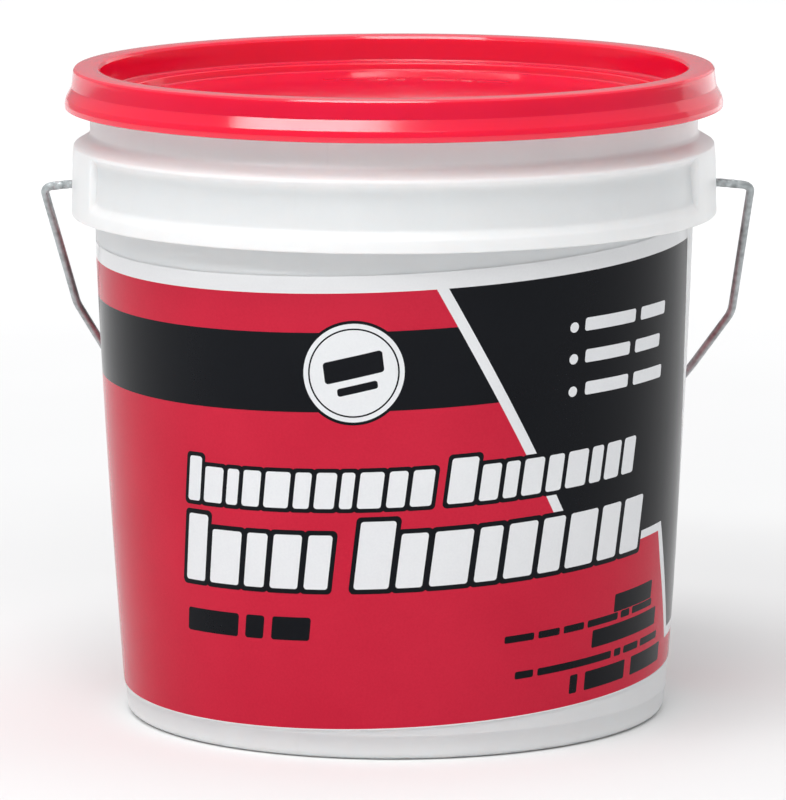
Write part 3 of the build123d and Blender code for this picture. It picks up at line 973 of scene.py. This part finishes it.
# back of the label: a white panel with grey lines of even height, and a small white box with grey bars
back = -math.pi * ART_R
add(rounded_poly([(back - 92, 20.0), (back + 62, 20.0), (back + 62, 104.5), (back - 92, 104.5)], 2.5), WHITE)
for col, (c0, c1) in enumerate(((-88.0, -40.5), (-36.5, 11.0), (15.0, 58.0))):
    v = 99.0
    line = 0
    while v > 25.5:
        last_line = (line % 7 == 6)
        if line % 7 == 0:
            add(slab(back + c0, back + c0 + 24 + 4 * col, v - 2.6, v, 0.0, 0.4), BLACK)
            v -= 4.6
        else:
            end = c1 - (rng.uniform(8, 26) if last_line else rng.uniform(0.0, 3.2))
            add(slab(back + c0, back + end, v - 1.15, v, 0.0, 0.3), GREY)
            v -= 2.55 if not last_line else 4.8
        line += 1
# a plain stripe code block is left out; a white box with three grey bars holds its place
add(rounded_poly([(back + 70, 24.0), (back + 98, 24.0), (back + 98, 50.0), (back + 70, 50.0)], 0.8), WHITE)
for q in range(3):
    add(slab(back + 73, back + 95 - 5 * q, 43.0 - 6.2 * q, 45.4 - 6.2 * q, 0.0, 0.4), GREY)
# the same row of blocks, smaller, above the panel on the back
for s0, s1 in ((-86, -52), (-48, -20), (-16, 8)):
    add(slab(back + s0, back + s1, 115.6, 126.6, 0.12, 1.2), WHITE)


def art_to_xyz(s, v, out):
    """Points on the film at art coordinates, standing out from the wall by out millimetres."""
    a = s / ART_R
    z = v.copy()
    for _ in range(6):
        r = wall_r_np(z)
        z = v + TILT_X * r * np.sin(a) - TILT_Y * r * np.cos(a)
    r = wall_r_np(z) + out
    return np.stack([r * np.sin(a), -r * np.cos(a), z], 1)


def build_label():
    outline = []
    for v in np.linspace(FILM_LOW, FILM_TOP, 40):
        outline.append((seam_s(v), v))
    outline += [(LEFT_S, FILM_TOP), (LEFT_S, FILM_LOW)]
    coords, edges = [], []
    seg_a, seg_b = [], []

    def feed(poly, longest):
        ids = []
        n = len(poly)
        for i in range(n):
            a, b = np.array(poly[i], float), np.array(poly[(i + 1) % n], float)
            k = max(1, int(math.ceil(np.linalg.norm(b - a) / longest)))
            for j in range(k):
                ids.append(len(coords))
                coords.append(tuple(a + (b - a) * j / k))
        for i in range(len(ids)):
            edges.append((ids[i], ids[(i + 1) % len(ids)]))
            seg_a.append(coords[ids[i]])
            seg_b.append(coords[ids[(i + 1) % len(ids)]])
    feed(outline, 1.8)
    for poly, _ in shapes:
        feed(poly, 1.8)
    fixed = np.array(coords)
    # filling points, kept away from the drawn lines
    gs = np.arange(LEFT_S + 1.0, right_limit, 1.85)
    gv = np.arange(FILM_LOW + 1.0, FILM_TOP, 3.1)
    G = np.array([(s + (0.9 if q % 2 else 0.0), v) for q, v in enumerate(gv) for s in gs])
    keep = inside(outline, G[:, 0], G[:, 1])
    G = G[keep]
    # grid hash of the drawn points and of points along the drawn lines
    samples = [fixed]
    A, Bp = np.array(seg_a), np.array(seg_b)
    for f in (0.25, 0.5, 0.75):
        samples.append(A + (Bp - A) * f)
    S = np.concatenate(samples)
    cell = 0.7
    near = set(map(tuple, np.floor(S / cell).astype(int)))
    gk = np.floor(G / cell).astype(int)
    ok = np.ones(len(G), bool)
    for q in range(len(G)):
        a, b = gk[q]
        for da in (-1, 0, 1):
            for db in (-1, 0, 1):
                if (a + da, b + db) in near:
                    ok[q] = False
                    break
            if not ok[q]:
                break
    G = G[ok]
    coords += [tuple(p) for p in G]
    res = delaunay_2d_cdt([Vector(c) for c in coords], edges, [], 0, 1e-4)
    V = np.array([tuple(p) for p in res[0]])
    F = np.array([tuple(f) for f in res[2]])
    C = V[F].mean(1)
    keep = inside(outline, C[:, 0], C[:, 1])
    # no flat slivers
    e1, e2 = V[F[:, 1]] - V[F[:, 0]], V[F[:, 2]] - V[F[:, 0]]
    area = e1[:, 0] * e2[:, 1] - e1[:, 1] * e2[:, 0]
    keep &= np.abs(area) > 1e-9
    F, C, area = F[keep], C[keep], area[keep]
    F[area < 0] = F[area < 0][:, ::-1]
    ink = np.full(len(F), CLEAR)
    for poly, colour in shapes:
        ink[inside(poly, C[:, 0], C[:, 1])] = colour
    ink[(C[:, 1] > INK_TOP) | (C[:, 1] < INK_LOW)] = CLEAR
    used = np.unique(F)
    remap_ids = np.full(len(V), -1)
    remap_ids[used] = np.arange(len(used))
    V, F = V[used], remap_ids[F]
    n = len(V)
    # slight pull lines in the film, fading out at its edges
    s, v = V[:, 0], V[:, 1]
    pull = 0.012 * np.sin(s / 7.3 + 0.8 * np.sin(v / 23.0)) + 0.010 * np.sin(s / 17.0 - v / 31.0 + 1.3)
    # border edges: used by one triangle only; the film is pressed down to a thin edge there
    E = np.concatenate([F[:, [0, 1]], F[:, [1, 2]], F[:, [2, 0]]])
    key = np.sort(E, 1)
    _, first, count = np.unique(key, axis=0, return_index=True, return_counts=True)
    border = E[first[count == 1]]
    out = 0.17 + np.maximum(0, pull)
    out[np.unique(border)] = 0.06
    outer = art_to_xyz(s, v, out)
    inner = art_to_xyz(s, v, np.full(n, 0.02))
    faces = [tuple(map(int, f)) for f in F]
    mats = list(map(int, ink))
    faces += [(int(f[2]) + n, int(f[1]) + n, int(f[0]) + n) for f in F]
    mats += [CLEAR] * len(F)
    for a, b in border:
        faces.append((int(b), int(a), int(a) + n, int(b) + n))
        mats.append(CLEAR)
    verts = np.concatenate([outer, inner]) * MM
    mesh = bpy.data.meshes.new("label_wrap")
    mesh.from_pydata([tuple(p) for p in verts], [], faces)
    for m in (m_red, m_black, m_white, m_clear, m_grey):
        mesh.materials.append(m)
    mesh.polygons.foreach_set("material_index", mats)
    mesh.polygons.foreach_set("use_smooth", [True] * len(faces))
    mesh.update()
    # exact normals: both big faces follow the wall, and the cut edge is flat
    a = s / ART_R
    z = outer[:, 2]
    slope = -(z - BAR_Z) / np.sqrt(BAR_RAD ** 2 - (z - BAR_Z) ** 2)
    nr = np.stack([np.sin(a), -np.cos(a), -slope], 1)
    nr /= np.linalg.norm(nr, axis=1)[:, None]
    loops = []
    nf = len(F)
    fn = np.zeros(len(faces) * 3)
    mesh.polygons.foreach_get("normal", fn)
    fn = fn.reshape(-1, 3)
    for q, f in enumerate(faces):
        if q < nf:
            loops += [nr[k] for k in f]
        elif q < 2 * nf:
            loops += [-nr[k - n] for k in f]
        else:
            loops += [nr[k % n] for k in f]
    mesh.normals_split_custom_set([tuple(map(float, x)) for x in loops])
    obj = bpy.data.objects.new("label_wrap", mesh)
    bpy.context.scene.collection.objects.link(obj)
    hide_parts("label")
    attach(obj, "pail")
    return obj


label_wrap = build_label()


# ================================================================ studio
def grid_plane(name, size, z, mat, n=8):
    verts, faces = [], []
    for i in range(n + 1):
        for j in range(n + 1):
            verts.append((-size / 2 + size * i / n, -size / 2 + size * j / n, z))
    for i in range(n):
        for j in range(n):
            a = i * (n + 1) + j
            faces.append((a, a + n + 1, a + n + 2, a + 1))
    return new_object(name, verts, faces, [mat], sharp_deg=0)


floor = grid_plane("studio_floor", 16.0, 0.0, m_floor)


def softbox(name, azimuth, elevation, distance, size_x, size_y, power, colour=(1, 1, 1), target=(0, 0, 0.1)):
    """Area light facing the target. Azimuth 0 is the camera's side, + towards +X."""
    data = bpy.data.lights.new(name, "AREA")
    data.shape = "RECTANGLE"
    data.size, data.size_y = size_x, size_y
    data.energy = power
    data.color = colour
    obj = bpy.data.objects.new(name, data)
    a, e = math.radians(azimuth), math.radians(elevation)
    t = Vector(target)
    obj.location = t + Vector((math.sin(a) * math.cos(e), -math.cos(a) * math.cos(e), math.sin(e))) * distance
    obj.rotation_euler = (obj.location - t).to_track_quat("Z", "Y").to_euler()
    bpy.context.scene.collection.objects.link(obj)
    return obj


softbox("key_strip", -22, 42, 1.6, 2.1, 0.16, 11.0, target=(0, 0, 0.17))
softbox("overhead_front", -24, 70, 1.6, 0.9, 0.5, 11.5, target=(0, 0, 0.15))
softbox("side_right", 142, 4, 1.6, 1.2, 1.3, 2.8)
softbox("overhead_back", 180, 76, 2.5, 4.0, 4.0, 9)

world = bpy.data.worlds.new("studio_world")
scene = bpy.context.scene
scene.world = world
world.use_nodes = True
wnt = world.node_tree
wnt.nodes.clear()
w_out = wnt.nodes.new("ShaderNodeOutputWorld")
w_bg = wnt.nodes.new("ShaderNodeBackground")
w_bg.inputs["Color"].default_value = (0.985, 0.99, 1.0, 1)
w_dir = wnt.nodes.new("ShaderNodeTexCoord").outputs["Generated"]
w_sep = wnt.nodes.new("ShaderNodeSeparateXYZ")
wnt.links.new(w_dir, w_sep.inputs[0])
# a pale room, darker on the photographer's side and a little brighter above
w_sum = math_node(wnt, "ADD", math_node(wnt, "MULTIPLY", w_sep.outputs[1], 0.20),
                  math_node(wnt, "ADD", math_node(wnt, "MULTIPLY", w_sep.outputs[0], -0.02),
                            math_node(wnt, "ADD", math_node(wnt, "MULTIPLY", w_sep.outputs[2], 0.58), 0.22)))
wnt.links.new(math_node(wnt, "MAXIMUM", w_sum, 0.22), w_bg.inputs["Strength"])
wnt.links.new(w_bg.outputs[0], w_out.inputs[0])

scene.view_settings.view_transform = "Standard"
scene.view_settings.look = "None"
scene.view_settings.exposure = 0.0
scene.view_settings.gamma = 1.0

cam_data = bpy.data.cameras.new("camera")
cam_data.lens = 282.1
cam_data.sensor_width = 36.0
cam_data.sensor_fit = "AUTO"
cam_data.clip_start = 0.05
cam_data.clip_end = 60.0
cam_data.dof.use_dof = False
cam_data.shift_x = -0.0021
cam = bpy.data.objects.new("camera", cam_data)
cam.location = (0.0, -1.8944, 0.3978)
cam.rotation_mode = "XYZ"
down, roll = math.radians(9.09), math.radians(0.15)
direction = Vector((0, math.cos(down), -math.sin(down)))
quat = direction.to_track_quat("-Z", "Y")
cam.rotation_euler = (Quaternion(direction, roll) @ quat).to_euler()
scene.collection.objects.link(cam)
scene.camera = cam
